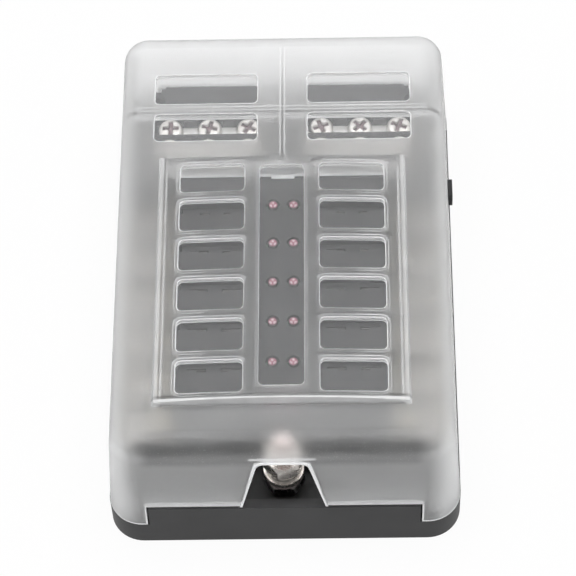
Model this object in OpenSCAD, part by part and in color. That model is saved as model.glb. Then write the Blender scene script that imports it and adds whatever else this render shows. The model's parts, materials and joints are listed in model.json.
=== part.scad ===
// Twelve way blade fuse block with a lift-off frosted cover.
// Origin: middle of the underside. X runs across, Y towards the negative end, Z up.

/* [Base housing] */
// Width of the base across X
base_w = 100; // [94:1:106]
// Length of the base along Y
base_l = 150; // [148:1:160]
// Plan radius of the outer corners
corner_r = 9.6; // [8:0.2:12]
// Height of the plinth, where the feet of the cover end
plinth_h = 9.5; // [8.5:0.5:11]
// Height of the flush rim between the feet of the cover
rim_h = 18.6; // [17.8:0.2:20]
// How far the rim between the feet stands in from the plinth on the long sides
rim_in = 0.9; // [0.8:0.1:1.2]
// Gap between the rim's ends and the feet of the cover
foot_gap = 0.5; // [0.3:0.1:0.8]
// Width of each corner foot of the cover, measured from the side
foot_w = 11.2; // [9:0.2:14]
// Length of each corner foot of the cover, measured from the end
foot_l = 13; // [10:0.5:16]
// Height of the floor of the wire aisles
aisle_floor = 13; // [12:0.5:14]
// Drop of the corners' inner wall below the rim
well_wall_drop = 1; // [0.6:0.2:2.6]
// Thickness of the aisles' upstanding ribs
divider_t = 1.6; // [1.2:0.1:2.4]
// Height of the tops of the aisles' ribs
divider_top = 24; // [20:0.5:27]
// Height of the underside cavity's roof
cavity_roof = 11; // [10.6:0.1:11.6]
// Wall round the underside cavity
cavity_wall = 5; // [4:0.5:7]

/* [Mounting] */
// Distance between mounting holes across X
mount_dx = 84; // [82:0.5:86]
// Distance between mounting holes along Y
mount_dy = 124; // [122:0.5:126]
// Diameter of the mounting holes
mount_hole_d = 5; // [4:0.1:5.5]
// Diameter of the well floor's seat for a screw head
mount_seat_d = 9.4; // [8.4:0.2:10]
// Depth of that seat
mount_seat_depth = 1; // [0.5:0.1:1.5]

/* [Bottom plate] */
// Thickness of the bottom plate
plate_t = 2; // [1.5:0.1:2.5]
// Width of the rebate that the plate sits in, from the outer edge
plate_edge = 3; // [2.5:0.5:4]
// Head diameter of the plate's countersunk screws
plate_screw_head_d = 6; // [5:0.2:7]
// Shank diameter of the plate's screws
plate_screw_d = 2.9; // [2.4:0.1:3.2]
// Length of the plate's screws
plate_screw_l = 9; // [7:0.5:10]

/* [Fuse field] */
// Circuits down each side
rows = 6; // [4:1:6]
// Distance between neighbouring circuits
row_pitch = 13.5; // [13.2:0.1:13.8]
// Y of the first row of lamps
lamp_y = 17.7; // [17:0.1:18.4]
// How far the fuse pockets lie beyond their lamps along Y
pocket_shift = 1; // [0.4:0.1:1.6]
// X of the middle of each column of fuse pockets
fuse_x = 20.1; // [19.6:0.1:20.6]
// Length of a fuse pocket along X
pocket_l = 20; // [19.6:0.1:20.4]
// Width of a fuse pocket along Y
pocket_w = 5.6; // [5.4:0.1:6]
// Height of a fuse pocket's floor
pocket_floor = 26.5; // [25.5:0.5:27.5]
// Height of the ridges between the fuse pockets
ridge_top = 32.4; // [31.5:0.1:33]
// Half of the fuse tower's width
tower_x = 32; // [31.5:0.1:32.6]
// Tower wall beyond the end pockets along Y
tower_end = 4; // [3.4:0.1:4.6]
// Width of the finger grip in each ridge
grip_w = 9; // [7:0.5:11]
// Depth of the finger grip along Y
grip_d = 0.7; // [0.5:0.1:1.2]

/* [Lamp rail] */
// Half width of the raised rail that the lamps stand in
rail_x = 5.9; // [5.6:0.1:6.2]
// Height of the rail's top
rail_top = 33.6; // [33:0.1:34.2]
// Thickness of the rail's top
rail_t = 2; // [1.6:0.1:2.4]
// X of the lamps
lamp_x = 3; // [2.8:0.1:3.2]
// Diameter of a lamp
lamp_d = 3; // [2.8:0.1:3]
// Diameter of a lamp's flange
lamp_flange_d = 3.7; // [3.6:0.1:3.8]
// Diameter of the holes in the rail
lamp_hole_d = 4; // [3.9:0.1:4.4]
// How far a lamp stands above the rail
lamp_proud = 0.8; // [0.4:0.1:1.2]
// Thickness of the lamp board
board_t = 1.6; // [1:0.1:2]
// Gap between the board and the rail's underside
board_gap = 2; // [1.6:0.1:2.4]
// Width of the lamp board
board_w = 10.8; // [10.4:0.1:11]

/* [Contacts] */
// Thickness of the contact strip
strip_t = 1.2; // [1:0.1:1.4]
// Distance from the middle of a fuse to each blade
blade_x = 4.9; // [4.8:0.1:5]
// Width of a contact fork
fork_w = 5; // [4.6:0.1:5.4]
// Thickness of each leaf of a fork
leaf_t = 0.6; // [0.5:0.05:0.7]
// Opening between the two leaves of a fork
fork_gap = 0.8; // [0.7:0.05:1]
// How far the fork's tips stop below the pocket floor
fork_sink = 0.4; // [0.2:0.1:1]
// Clearance of contact strips in the moulding
strip_clear = 0.3; // [0.2:0.05:0.4]
// X of the output screws
output_x = 40.4; // [40:0.1:41]
// Height of the top of an output landing
landing_z = 16; // [15.5:0.1:16.5]
// Width of an output landing along Y
landing_w = 9; // [8.4:0.1:9.6]
// Half width of the supply bus's two long bars
bus_bar_half = 3.4; // [3:0.1:4]

/* [Terminal screws] */
// Thread diameter of the terminal screws
screw_d = 4; // [3.5:0.1:4]
// Head diameter of the terminal screws
screw_head_d = 7.5; // [6.8:0.1:7.6]
// Head height of the terminal screws
screw_head_h = 3.1; // [2.6:0.1:3.3]
// Thread length under the head
screw_l = 6; // [5:0.5:6]
// Width of the cross recess
recess_w = 1.1; // [0.9:0.1:1.4]
// Depth of the cross recess
recess_depth = 1.6; // [1:0.1:2]
// Clearance round screws and studs
screw_clear = 0.3; // [0.3:0.05:0.4]

/* [Negative bus] */
// X of the screws nearest the middle
neg_x = 11.1; // [10.9:0.1:11.4]
// Distance between neighbouring screws
neg_pitch = 11.9; // [11.6:0.1:12]
// Screws in each group
neg_count = 3; // [2:1:3]
// Y of the lower, outer row
neg_y_low = 55.8; // [55.4:0.1:56.2]
// Distance between the two rows along Y
neg_row_step = 9.9; // [9.8:0.1:10.2]
// Top of the lower bar
neg_z_low = 17.7; // [17.4:0.1:18]
// Rise from the lower bar to the upper bar
neg_rise = 3.2; // [2.8:0.1:3.6]
// Bar width beyond the screws on the far side
neg_bar_far = 2.1; // [1.8:0.1:2.4]
// Bar width before the screws on the near side
neg_bar_near = 4; // [3.8:0.1:4.2]
// How far the bars run past the outer screws
neg_end = 3.8; // [3.6:0.1:4]
// Height of the platform at the negative end
platform_top = 21.1; // [20.8:0.1:21.8]
// Height of the ridge between the two rows
neg_ridge_top = 22.8; // [22:0.1:23.4]
// Width of that ridge along Y
neg_ridge_w = 2.2; // [1.8:0.1:2.2]
// Diameter of the wells round the screws of the outer row
neg_well_d = 9; // [8.6:0.1:9.4]
// Half width of the block in the middle of the bus
neg_mid_x = 6.4; // [6:0.1:6.8]

/* [Supply stud] */
// Thread diameter of the stud
stud_d = 6; // [5:0.5:6]
// Distance of the stud from the front edge
stud_in = 10.6; // [10.2:0.1:11]
// Height of the stud's tip
stud_top = 39; // [37:0.5:40]
// Depth of the stud bay below the rim
bay_depth = 3.6; // [3.2:0.1:4]
// Half width of the stud bay
bay_x = 15; // [13:0.5:17]
// Thickness of the rim in front of the stud bay
bay_rim = 3; // [2.5:0.1:4]
// Width across flats of the nuts
nut_af = 10; // [9.5:0.1:10]
// Height of a nut
nut_h = 5; // [4:0.1:5.2]
// Outer diameter of the upper washer
washer_d = 11.4; // [11:0.1:12]
// Thickness of the upper washer
washer_t = 1.6; // [1:0.1:1.6]
// Outer diameter of the lower washer
low_washer_d = 11; // [10.6:0.1:11.4]
// Thickness of the lower washer
low_washer_t = 1.2; // [1:0.1:1.6]
// Outer diameter of the spring washer
spring_d = 10.4; // [10:0.1:10.8]
// Thickness of the spring washer
spring_t = 2; // [1.2:0.1:2.2]
// Diameter of the stud where its nuts sit, at the middle of the thread's flanks
stud_pitch_d = 5.35; // [5.2:0.05:5.5]
// Turn of the upper nut
upper_turn = 15; // [0:1:30]
// Height of the stud's head under the bus
stud_head_h = 4; // [3:0.2:4.4]

/* [Cover] */
// Wall thickness of the cover
cover_t = 2; // [1.6:0.1:2.2]
// Gap between the cover's foot and the base outline
cover_set = 0.1; // [0:0.05:0.3]
// Inward lean of the cover's walls, as a share of their height
cover_draft = 0.067; // [0.05:0.001:0.07]
// Radius of the cover's upper edges
cover_edge_r = 6.5; // [5:0.1:7]
// Height of the deck round the window field
deck_z = 47; // [46:0.1:48]
// Height of the crowned window field in the middle
field_z = 49.5; // [49.3:0.1:50.5]
// Radius of the window field's crown
crown_r = 460; // [400:10:700]
// Half width of the window field at its top
field_x = 34.2; // [33:0.1:35]
// Slope of the window field's edges in plan
field_slope = 1.6; // [0.8:0.1:2]
// Front edge of the window field
field_y_front = -56.7; // [-57.5:0.1:-56]
// Far edge of the window field
field_y_far = 23.9; // [23.4:0.1:24.6]
// Clearance between the cover's wall and the base inside it
cover_clear = 1.1; // [0.9:0.05:1.4]

/* [Windows] */
// Depth of the windows below the surface round them
window_depth = 1; // [0.6:0.1:1.2]
// Width of a fuse window
window_w = 18.7; // [18:0.1:19.2]
// Length of a fuse window along Y
window_l = 10.4; // [9.6:0.1:11]
// Length of the shortened first window
window_l_first = 9.6; // [8:0.1:10]
// How far the middle of a window lies beyond its lamps along Y
window_shift = -0.15; // [-0.4:0.05:0.4]
// Corner radius of the windows
window_r = 1.6; // [1:0.1:2.4]
// Half width of the lamp window
strip_x = 6.4; // [6.2:0.1:6.8]
// Near edge of the lamp window
strip_y_near = -53.2; // [-54:0.1:-52]
// Far edge of the lamp window
strip_y_far = 21.2; // [20.6:0.1:21.6]
// Inner edge of the terminal windows
big_x_in = 7.4; // [7:0.1:8]
// Outer edge of the terminal windows
big_x_out = 37.7; // [37:0.1:38.4]
// Near edge of the screw windows
big_y_near = 31.9; // [31.4:0.1:32.4]
// Far edge of the screw windows
big_y_mid = 41.7; // [41.2:0.1:42]
// Near edge of the far windows
big_y_mid_far = 45.4; // [45:0.1:46]
// Far edge of the far windows
big_y_far = 56.2; // [55.6:0.1:56.8]

/* [Cover ribs] */
// Thickness of the ribs under the cover
rib_t = 1.4; // [1.2:0.1:1.6]
// Y of the partition between screws and fuses
partition_y = 25; // [24.8:0.1:25.4]
// Height of the partition's lower edge
partition_z = 37.6; // [36.6:0.1:38.4]
// Extra thickness of the partition's pad in the middle
partition_pad = 0.8; // [0.5:0.1:1.2]
// Depth of the stiffening ribs below the deck
rib_depth = 3; // [2:0.2:4]
// Y of the stiffening rib across the terminal end
cross_rib_y = 43.6; // [43.4:0.1:43.8]

/* [Cable notch] */
// Half width of the cable notch at its foot
notch_foot = 11.7; // [11:0.1:12.4]
// Half width of the cable notch at its top
notch_top = 7.1; // [6.8:0.1:7.6]
// Height of the top of the cable notch
notch_z = 40; // [39.6:0.1:40.2]
// Radius of the notch's upper corners
notch_r = 2.4; // [1.6:0.1:3]
// Width of the lip round the notch
notch_lip = 0.7; // [0.5:0.1:1]
// How far that lip stands proud of the front wall
notch_lip_proud = 0.35; // [0.2:0.05:0.6]

/* [Snap lugs] */
// Y of the middle of the snap lugs
lug_y = 29.7; // [29.2:0.1:30.2]
// Length of a snap lug along Y
lug_l = 7.4; // [6.8:0.1:8.2]
// Height of a snap lug
lug_h = 4; // [3.4:0.1:4.4]
// Height of a snap lug's top
lug_top = 24.5; // [24:0.1:25]
// How far the right snap lug stands out past the base
lug_proud = 0.3; // [0:0.1:0.8]
// How far the left snap lug stays inside the base's outline
lug_flush = 0.7; // [0.5:0.1:1]
// Clearance round a snap lug in the cover's slot
lug_clear = 0.4; // [0.3:0.05:0.6]

/* [Hidden] */
$fn = 48;

eps = 0.01;
corner_x = base_w / 2 - corner_r;
corner_y = base_l / 2 - corner_r;
inner_set = cover_set + cover_t + cover_clear;
inner_x = base_w / 2 - inner_set;
inner_y = base_l / 2 - inner_set;
foot_x = base_w / 2 - foot_w;
foot_y = base_l / 2 - foot_l;
pocket_y = lamp_y + pocket_shift;
first_y = pocket_y + pocket_w / 2 + tower_end;
last_y = pocket_y - (rows - 1) * row_pitch - pocket_w / 2 - tower_end;
stud_y = -base_l / 2 + stud_in;
well_wall_h = rim_h - well_wall_drop;
bay_floor = rim_h - bay_depth;
washer_z = bay_floor + nut_h + low_washer_t;
upper_nut_z = washer_z + washer_t + spring_t;
fork_top = pocket_floor - fork_sink;
fork_half = fork_gap / 2 + leaf_t;
strip_z = cavity_roof - strip_t;
inner_blade = fuse_x - blade_x;
outer_blade = fuse_x + blade_x;
board_z = rail_top - rail_t - board_gap - board_t;
neg_y_high = neg_y_low - neg_row_step;
neg_z_high = neg_z_low + neg_rise;
neg_x_end = neg_x + (neg_count - 1) * neg_pitch + neg_end;
neg_ridge_y = neg_y_low - screw_head_d / 2 - screw_clear - neg_ridge_w / 2;
neg_near = neg_y_high - neg_bar_near;
neg_far = neg_y_low + neg_bar_far;
wire_far = neg_far;
edge_z = deck_z - cover_edge_r;
wall_r = corner_r - cover_set;
edge_x = wall_r - cover_draft * (edge_z - plinth_h);
slot_low = last_y + tower_end / 2;
slot_high = first_y - tower_end / 2;

function row_y(i) = -(i - 1) * row_pitch;
function crown_z(z) = z - crown_r;

module rounded_slab(w, l, r, h) {
    linear_extrude(h) union() {
        square([w - 2 * r, l], center = true);
        square([w, l - 2 * r], center = true);
        for (sx = [-1, 1], sy = [-1, 1])
            translate([sx * (w / 2 - r), sy * (l / 2 - r)]) circle(r);
    }
}

module box(x0, x1, y0, y1, z0, z1) {
    translate([x0, y0, z0]) cube([x1 - x0, y1 - y0, z1 - z0]);
}

module both_sides() {
    children();
    mirror([1, 0, 0]) children();
}

module at_mounts() {
    for (sx = [-1, 1], sy = [-1, 1])
        translate([sx * mount_dx / 2, sy * mount_dy / 2, 0]) children();
}

module at_plate_screws() {
    for (sx = [-1, 1], sy = [-1, 1])
        translate([sx * plate_screw_x, sy * plate_screw_y, 0]) children();
}
plate_screw_x = base_w / 2 - plate_edge - 5;
plate_screw_y = mount_dy / 2 - 14;

// Fork slot, tab channel and landing of one output contact, for the right side
module output_channel() {
    c = strip_clear;
    box(outer_blade - fork_w / 2 - c, outer_blade + fork_w / 2 + c, -fork_half - c, fork_half + c,
        cavity_roof - 1, pocket_floor + 1);
    box(riser_x - c, riser_x + strip_t + c, -fork_w / 2 - c, fork_w / 2 + c,
        cavity_roof - 1, landing_z + 1);
}
riser_x = tower_x + 1;

module fuse_pocket() {
    box(-pocket_l / 2, pocket_l / 2, -pocket_w / 2, pocket_w / 2, pocket_floor, ridge_top + 1);
    intersection() {
        translate([0, -pocket_w / 2, pocket_floor + 2]) cylinder(r = grip_w / 2, h = ridge_top);
        box(-grip_w / 2, grip_w / 2, -pocket_w / 2 - grip_d, 0, pocket_floor + 2, ridge_top + 1);
    }
}

module output_landing_block() {
    box(riser_x + strip_t + strip_clear, inner_x - 1.4, -landing_w / 2, landing_w / 2,
        aisle_floor - eps, landing_z - strip_t);
}

module housing_solid() {
    rounded_slab(base_w, base_l, corner_r, plinth_h);
    translate([0, 0, plinth_h - eps])
        rounded_slab(2 * inner_x, 2 * inner_y, corner_r - inner_set, well_wall_h - plinth_h);
    // Flush rim between the feet of the cover
    intersection() {
        rounded_slab(base_w, base_l, corner_r, rim_h);
        union() {
            box(foot_gap - foot_x, foot_x - foot_gap, -base_l, base_l, 0, rim_h - foot_seat);
            box(rim_in - base_w / 2, base_w / 2 - rim_in, foot_gap - foot_y, foot_y - foot_gap,
                0, rim_h - foot_seat);
        }
    }
    // Platform at the negative end
    box(-mount_well_x, mount_well_x, neg_far, inner_y - far_round, aisle_floor - eps, platform_top);
    translate([0, inner_y - far_round, aisle_floor - eps])
        intersection() {
            box(-mount_well_x, mount_well_x, -far_round, far_round, 0, platform_top - aisle_floor);
            rotate([0, 90, 0]) translate([-(platform_top - aisle_floor - far_round), 0, -base_w / 2])
                union() {
                    cylinder(r = far_round, h = base_w);
                    translate([0, -far_round, 0]) cube([base_l, 2 * far_round, base_w]);
                }
        }
}
foot_seat = 0.1;
far_round = 1.2;
mount_well_x = mount_dx / 2 - mount_seat_d / 2 - 0.6;
well_depth_y = inner_y - 2 - (mount_dy / 2 - mount_seat_d / 2 - 0.6);

module aisles() {
    // Floor level of the whole top, inside the rim
    difference() {
        box(-inner_x + 2, inner_x - 2, last_y - 1, neg_far, aisle_floor, rim_h + 10);
        box(-tower_x, tower_x, last_y - 1, first_y, aisle_floor - 1, rim_h + 11);
    }
    // Mounting wells
    for (sx = [-1, 1], sy = [-1, 1])
        translate([sx * (inner_x - 2 + mount_well_x) / 2, sy * (inner_y - 2 - well_depth_y / 2), 0])
            translate([0, 0, aisle_floor])
                rounded_slab(inner_x - 2 - mount_well_x, well_depth_y, 3, 20);
}

module wire_exits() {
    // Long ways out under the cover's side edges
    for (s = [-1, 1]) {
        box(s > 0 ? inner_x - 3 : -base_w, s > 0 ? base_w : -inner_x + 3,
            slot_low, slot_high, aisle_floor, rim_h + 10);
        box(s > 0 ? inner_x - 3 : -base_w, s > 0 ? base_w : -inner_x + 3,
            neg_near, wire_far, aisle_floor, rim_h + 10);
    }
}

module fuse_tower() {
    box(-tower_x, tower_x, last_y, first_y, aisle_floor - eps, ridge_top);
    box(-rail_x, rail_x, last_y, first_y - rail_short, ridge_top - eps, rail_top);
}
rail_short = 4.4;
rail_wall = 0.8;

module negative_blocks() {
    box(-neg_x_end - 1, neg_x_end + 1, neg_near, neg_y_high + neg_bar_far, aisle_floor - eps,
        neg_z_high - strip_t);
    box(-neg_x_end - 1, neg_x_end + 1, neg_y_high, neg_far + eps, aisle_floor - eps,
        neg_z_low - strip_t);
    // Ridge between the rows, the middle block and the end posts
    box(-neg_x_end - 1 - post_t, neg_x_end + 1 + post_t, neg_ridge_y - neg_ridge_w / 2,
        neg_ridge_y + neg_ridge_w / 2, aisle_floor - eps, neg_ridge_top);
    box(-neg_mid_x, neg_mid_x, neg_near, neg_far + eps, aisle_floor - eps, neg_ridge_top);
}
post_t = 1.6;

module snap_lug(reach) {
    z0 = lug_top - lug_h;
    box(inner_x - 2, inner_x - 0.1, lug_y - lug_l / 2, lug_y + lug_l / 2, aisle_floor - eps, lug_top);
    translate([inner_x - 0.1 - eps, lug_y, z0])
        rotate([90, 0, 90])
            linear_extrude(base_w / 2 + reach - inner_x + 0.1 + eps)
                polygon([[-lug_l / 2, 0], [lug_l / 2, 0], [lug_l / 2, lug_h - 1], [lug_l / 2 - 1, lug_h],
                         [-lug_l / 2 + 1, lug_h], [-lug_l / 2, lug_h - 1]]);
}

module aisle_ribs() {
    for (i = [0:rows])
        both_sides() translate([0, pocket_y - (i - 0.5) * row_pitch, 0])
            box(tower_x - eps, inner_x - 3.2, -divider_t / 2, divider_t / 2, aisle_floor - eps,
                divider_top);
    for (i = [1:rows])
        both_sides() translate([0, pocket_y + row_y(i), 0]) output_landing_block();
}

module base_housing() {
    color([0.13, 0.13, 0.135])
    difference() {
        union() {
            difference() {
                housing_solid();
                aisles();
                wire_exits();
            }
            fuse_tower();
            negative_blocks();
            aisle_ribs();
            snap_lug(lug_proud);
            mirror([1, 0, 0]) snap_lug(-lug_flush);
            stud_bay_walls();
            for (sx = [-1, 1], sy = [-1, 1]) mount_boss_pad(sx, sy);
        }
        // Pockets, fork slots and channels
        for (i = [1:rows]) both_sides() translate([0, pocket_y + row_y(i), 0]) {
            translate([fuse_x, 0, 0]) fuse_pocket();
            output_channel();
            box(inner_blade - fork_w / 2 - strip_clear, inner_blade + fork_w / 2 + strip_clear,
                -fork_half - strip_clear, fork_half + strip_clear, cavity_roof - 1, pocket_floor + 1);
            translate([output_x, 0, cavity_roof - 2])
                cylinder(d = screw_d + 2 * screw_clear, h = landing_z);
        }
        // Lamp rail's channel and holes
        box(-board_w / 2 - strip_clear, board_w / 2 + strip_clear, last_y + 2, first_y - rail_short - rail_wall,
            cavity_roof - 1, rail_top - rail_t);
        for (i = [1:rows]) both_sides()
            translate([lamp_x, lamp_y + row_y(i), board_z]) cylinder(d = lamp_hole_d, h = 20);
        // Underside cavity with the rebate of the bottom plate
        translate([0, 0, -1])
            rounded_slab(base_w - 2 * plate_edge, base_l - 2 * plate_edge, corner_r - plate_edge,
                         plate_t + 1);
        difference() {
            translate([0, 0, -1])
                rounded_slab(base_w - 2 * cavity_wall, base_l - 2 * cavity_wall,
                             corner_r - cavity_wall, cavity_roof + 1);
            at_mounts() cylinder(d = mount_seat_d + 2, h = cavity_roof + 1);
            at_plate_screws() cylinder(d = plate_screw_head_d + 1, h = cavity_roof + 1);
        }
        at_mounts() {
            translate([0, 0, -1]) cylinder(d = mount_hole_d, h = 30);
            translate([0, 0, aisle_floor - mount_seat_depth]) cylinder(d = mount_seat_d, h = 20);
        }
        at_plate_screws() translate([0, 0, plate_t - 1])
            cylinder(d = plate_screw_d + 2 * screw_clear, h = plate_screw_l);
        // Stud's hole and the bay above it
        translate([0, stud_y, -1]) cylinder(d = stud_d + 2 * screw_clear, h = 40);
        box(-bay_x, bay_x, bay_rim - base_l / 2, last_y, bay_floor, rim_h + 1);
        // Bars and screws of the negative bus
        negative_bus_form(strip_clear);
        for (i = [0:neg_count - 1]) both_sides() {
            translate([neg_x + i * neg_pitch, neg_y_low, cavity_roof - 2])
                cylinder(d = screw_d + 2 * screw_clear, h = 12);
            translate([neg_x + i * neg_pitch, neg_y_high, cavity_roof - 2])
                cylinder(d = screw_d + 2 * screw_clear, h = 12);
            intersection() {
                translate([neg_x + i * neg_pitch, neg_y_low, neg_z_low])
                    cylinder(d = neg_well_d, h = platform_top);
                box(-base_w, base_w, neg_y_low, base_l, 0, base_w);
            }
        }
    }
}

module mount_boss_pad(sx, sy) {
    translate([sx * mount_dx / 2, sy * mount_dy / 2, cavity_roof - 1])
        cylinder(d = mount_seat_d + 0.4, h = aisle_floor - cavity_roof + 1 - eps);
}

// Low walls each side of the stud bay
module stud_bay_walls() {
    both_sides() box(bay_x, bay_x + 2, -inner_y, last_y + eps, bay_floor - 1, bay_floor + 5);
}

bus_tail_half = inner_blade + bus_bar_half;

module bottom_plate() {
    color([0.12, 0.12, 0.125])
    difference() {
        rounded_slab(base_w - 2 * plate_edge - 2 * strip_clear, base_l - 2 * plate_edge - 2 * strip_clear,
                     corner_r - plate_edge - strip_clear, plate_t);
        translate([0, 0, -1]) at_mounts() cylinder(d = mount_hole_d, h = plate_t + 2);
        at_plate_screws() plate_screw_form(screw_clear);
    }
}

module plate_screw_form(c) {
    translate([0, 0, -eps]) cylinder(d1 = plate_screw_head_d + 2 * c, d2 = plate_screw_d + 2 * c,
                                     h = (plate_screw_head_d - plate_screw_d) / 2 + eps);
    translate([0, 0, 0.5]) cylinder(d = plate_screw_d + 2 * c, h = plate_screw_l - 0.5);
}

module plate_screws() {
    color([0.55, 0.55, 0.56])
    at_plate_screws() difference() {
        plate_screw_form(0);
        for (a = [0, 90]) rotate(a) translate([0, 0, 0.4])
            cube([plate_screw_head_d * 0.6, 0.8, 2], center = true);
    }
}

// One spring fork: two leaves on a foot, open upward
module fork() {
    both_y() {
        box(-fork_w / 2, fork_w / 2, fork_gap / 2, fork_half, strip_z, fork_top - 1.4);
        translate([-fork_w / 2, 0, 0]) rotate([90, 0, 90]) linear_extrude(fork_w)
            polygon([[fork_gap / 2 - 0.15, fork_top - 1.4 - eps], [fork_half - 0.05, fork_top - 1.4 - eps],
                     [fork_half + 0.05, fork_top], [fork_half - leaf_t + 0.25, fork_top]]);
    }
}

module both_y() {
    children();
    mirror([0, 1, 0]) children();
}

module supply_bus() {
    color([0.72, 0.6, 0.38])
    difference() {
        union() {
            both_sides() {
                box(inner_blade - bus_bar_half, inner_blade + bus_bar_half, last_y, pocket_y + 5,
                    strip_z, cavity_roof);
                for (i = [1:rows])
                    translate([inner_blade, pocket_y + row_y(i), 0]) fork();
            }
            box(-bus_tail_half, bus_tail_half, stud_y - stud_in / 2 + strip_clear, last_y + eps, strip_z,
                cavity_roof);
        }
        translate([0, stud_y, 0]) cylinder(d = stud_d + 2 * screw_clear, h = 30);
    }
}

module supply_stud() {
    color([0.7, 0.68, 0.64])
    translate([0, stud_y, 0]) union() {
        translate([0, 0, strip_z - stud_head_h])
            cylinder(d = nut_af / cos(30), h = stud_head_h, $fn = 6);
        cylinder_between(stud_pitch_d, strip_z - eps, upper_nut_z + nut_h + eps);
        cylinder_between(stud_d, upper_nut_z + nut_h, stud_top - stud_d * 0.12);
        translate([0, 0, stud_top - stud_d * 0.12])
            cylinder(d1 = stud_d, d2 = stud_d * 0.76, h = stud_d * 0.12);
    }
}

module cylinder_between(d, z0, z1) {
    translate([0, 0, z0]) cylinder(d = d, h = z1 - z0);
}

// Hex nut with its corners rounded off above and below
module hex_nut(z, turn) {
    translate([0, stud_y, z]) rotate(turn) difference() {
        intersection() {
            cylinder(d = nut_af / cos(30), h = nut_h, $fn = 6);
            union() {
                cylinder(d1 = nut_af * 0.95, d2 = nut_af * 0.95 + nut_h, h = nut_h / 2 + eps);
                translate([0, 0, nut_h / 2])
                    cylinder(d1 = nut_af * 0.95 + nut_h, d2 = nut_af * 0.95, h = nut_h / 2);
            }
        }
        translate([0, 0, -1]) cylinder(d = stud_pitch_d + thread_clear, h = nut_h + 2);
    }
}
thread_clear = 0.1;

module ring(d, h, z) {
    translate([0, stud_y, z]) difference() {
        cylinder(d = d, h = h);
        translate([0, 0, -1]) cylinder(d = stud_d + 2 * screw_clear, h = h + 2);
    }
}

module stud_lower_nut() {
    color([0.7, 0.68, 0.64]) hex_nut(bay_floor, 0);
}

module stud_lower_washer() {
    color([0.74, 0.72, 0.68]) ring(low_washer_d, low_washer_t, bay_floor + nut_h);
}

module stud_flat_washer() {
    color([0.74, 0.72, 0.68]) ring(washer_d, washer_t, washer_z);
}

module stud_spring_washer() {
    color([0.6, 0.58, 0.55])
    difference() {
        ring(spring_d, spring_t, washer_z + washer_t);
        translate([0, stud_y, washer_z + washer_t]) rotate([0, 20, 115])
            translate([0, -spring_cut / 2, -spring_t]) cube([spring_d, spring_cut, 4 * spring_t]);
    }
}
spring_cut = 1;

module stud_upper_nut() {
    color([0.7, 0.68, 0.64]) hex_nut(upper_nut_z, upper_turn);
}

// Output contact of the right side: fork, foot, riser and landing with its screw hole
module output_terminal() {
    difference() {
        union() {
            translate([outer_blade, 0, 0]) fork();
            box(outer_blade - fork_w / 2, riser_x + strip_t, -fork_w / 2, fork_w / 2, strip_z, cavity_roof);
            box(riser_x, riser_x + strip_t, -fork_w / 2, fork_w / 2, strip_z, landing_z);
            box(riser_x, inner_x - 1.4, -landing_w / 2, landing_w / 2, landing_z - strip_t, landing_z);
        }
        translate([output_x, 0, 0]) cylinder(d = screw_d + 2 * screw_clear, h = 30);
    }
}

module output_terminal_at(i, side) {
    color([0.76, 0.66, 0.42])
    mirror([side < 0 ? 1 : 0, 0, 0])
        translate([0, pocket_y + row_y(i), 0]) output_terminal();
}

// Terminal screw standing on z = 0, with a cross recess
module terminal_screw(turn) {
    difference() {
        union() {
            rotate_extrude() polygon([[0, 0], [screw_head_d / 2, 0], [screw_head_d / 2, screw_head_h * 0.45],
                [screw_head_d * 0.44, screw_head_h * 0.72], [screw_head_d * 0.34, screw_head_h * 0.92],
                [screw_head_d * 0.2, screw_head_h], [0, screw_head_h]]);
            translate([0, 0, -screw_l]) cylinder(d = screw_d, h = screw_l + eps);
        }
        for (a = [0, 90]) rotate(turn + a)
            translate([-screw_head_d * 0.3, -recess_w / 2, screw_head_h - recess_depth])
                cube([screw_head_d * 0.6, recess_w, recess_depth + 1]);
    }
}

module output_screws(side) {
    color([0.75, 0.74, 0.72])
    for (i = [1:rows])
        translate([side * output_x, pocket_y + row_y(i), landing_z]) terminal_screw(17 * i);
}

// Stepped negative bus, grown by c all round for its slot in the moulding
module negative_bus_form(c) {
    box(-neg_x_end - c, neg_x_end + c, riser_y - c, neg_far + c, neg_z_low - strip_t, neg_z_low + c);
    box(-neg_x_end - c, neg_x_end + c, riser_y - c, riser_y + strip_t + c, neg_z_low - strip_t,
        neg_z_high + c);
    box(-neg_x_end - c, neg_x_end + c, neg_near - c, riser_y + strip_t + c, neg_z_high - strip_t,
        neg_z_high + c);
}
riser_y = neg_y_high + neg_bar_far - strip_t;

module negative_bus() {
    color([0.76, 0.75, 0.72])
    difference() {
        negative_bus_form(0);
        for (i = [0:neg_count - 1], y = [neg_y_low, neg_y_high]) both_sides()
            translate([neg_x + i * neg_pitch, y, 0])
                cylinder(d = screw_d + 2 * screw_clear, h = 40);
    }
}

module negative_screws(y, z, turn) {
    color([0.75, 0.74, 0.72])
    for (i = [0:neg_count - 1]) {
        translate([neg_x + i * neg_pitch, y, z]) terminal_screw(turn + 25 * i);
        translate([-neg_x - i * neg_pitch, y, z]) terminal_screw(turn + 40 + 15 * i);
    }
}

module lamp_board() {
    color([0.1, 0.32, 0.16])
    box(-board_w / 2, board_w / 2, last_y + 2.5, first_y - rail_short - rail_wall - strip_clear, board_z,
        board_z + board_t);
}

module lamp(i, side) {
    r = lamp_d / 2;
    z0 = board_z + board_t;
    top = rail_top + lamp_proud;
    color([0.55, 0.08, 0.12])
    translate([side * lamp_x, lamp_y + row_y(i), 0]) union() {
        translate([0, 0, z0]) cylinder(d = lamp_flange_d, h = 1);
        translate([0, 0, z0]) cylinder(r = r, h = top - r - z0);
        translate([0, 0, top - r]) sphere(r);
    }
}

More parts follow.
